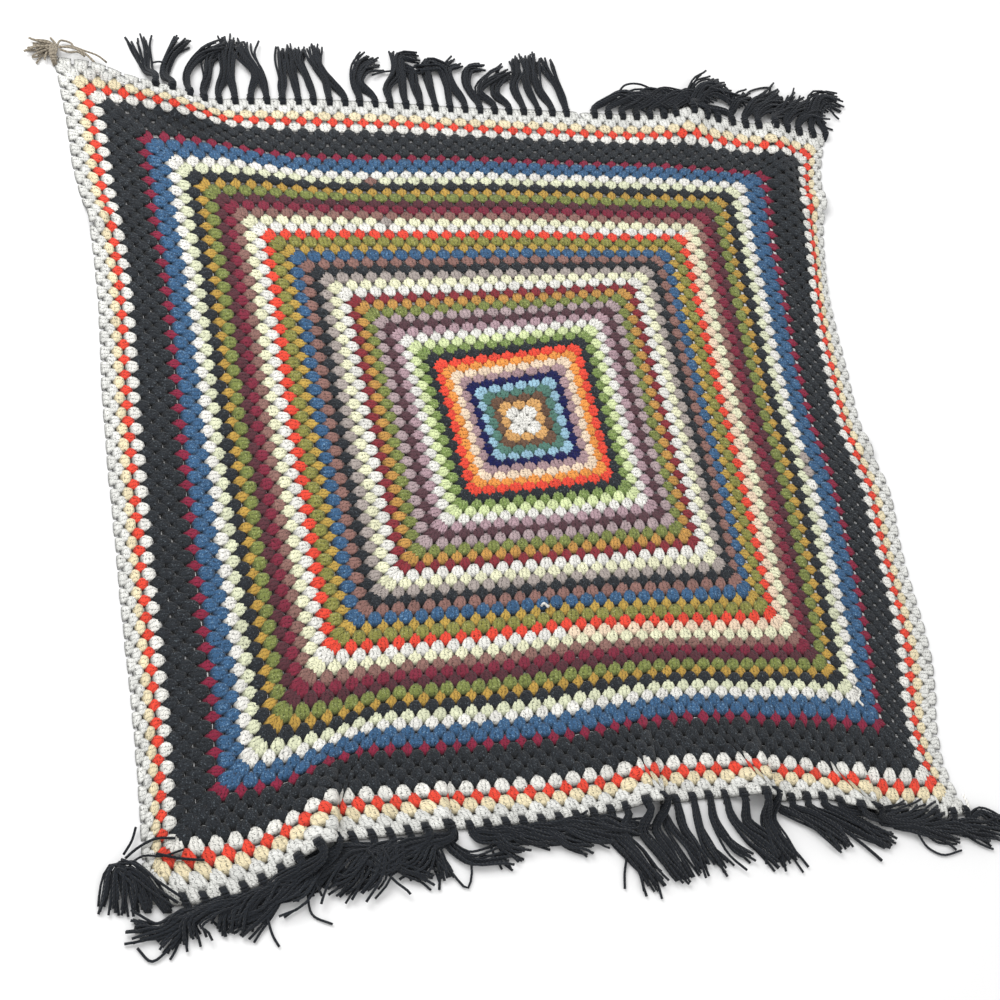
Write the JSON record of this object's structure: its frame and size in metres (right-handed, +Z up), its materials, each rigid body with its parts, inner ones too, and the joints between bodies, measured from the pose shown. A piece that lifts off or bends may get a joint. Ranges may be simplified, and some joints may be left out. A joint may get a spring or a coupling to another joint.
{
  "type": "granny square blanket",
  "caption": "Large square crocheted throw worked in coloured rings from its centre, lying flat with soft ripples, with a dark yarn fringe on two opposite edges.",
  "frame": {"origin": "on the ground under the middle of the blanket and its fringes", "axes": "+Z up through the thickness, +Y from the near fringed edge to the far fringed edge, +X to the right"},
  "size_m": [1.438, 1.494, 0.035],
  "materials": {
    "crochet": "matt worsted yarn in rings of many colours, crocheted in three-stitch clusters",
    "fringe_yarn": "matt charcoal yarn, loose plied strands"
  },
  "bodies": {
    "root": {"blanket": "crochet", "fringe_far": "fringe_yarn", "fringe_near": "fringe_yarn"}
  },
  "joints": []
}
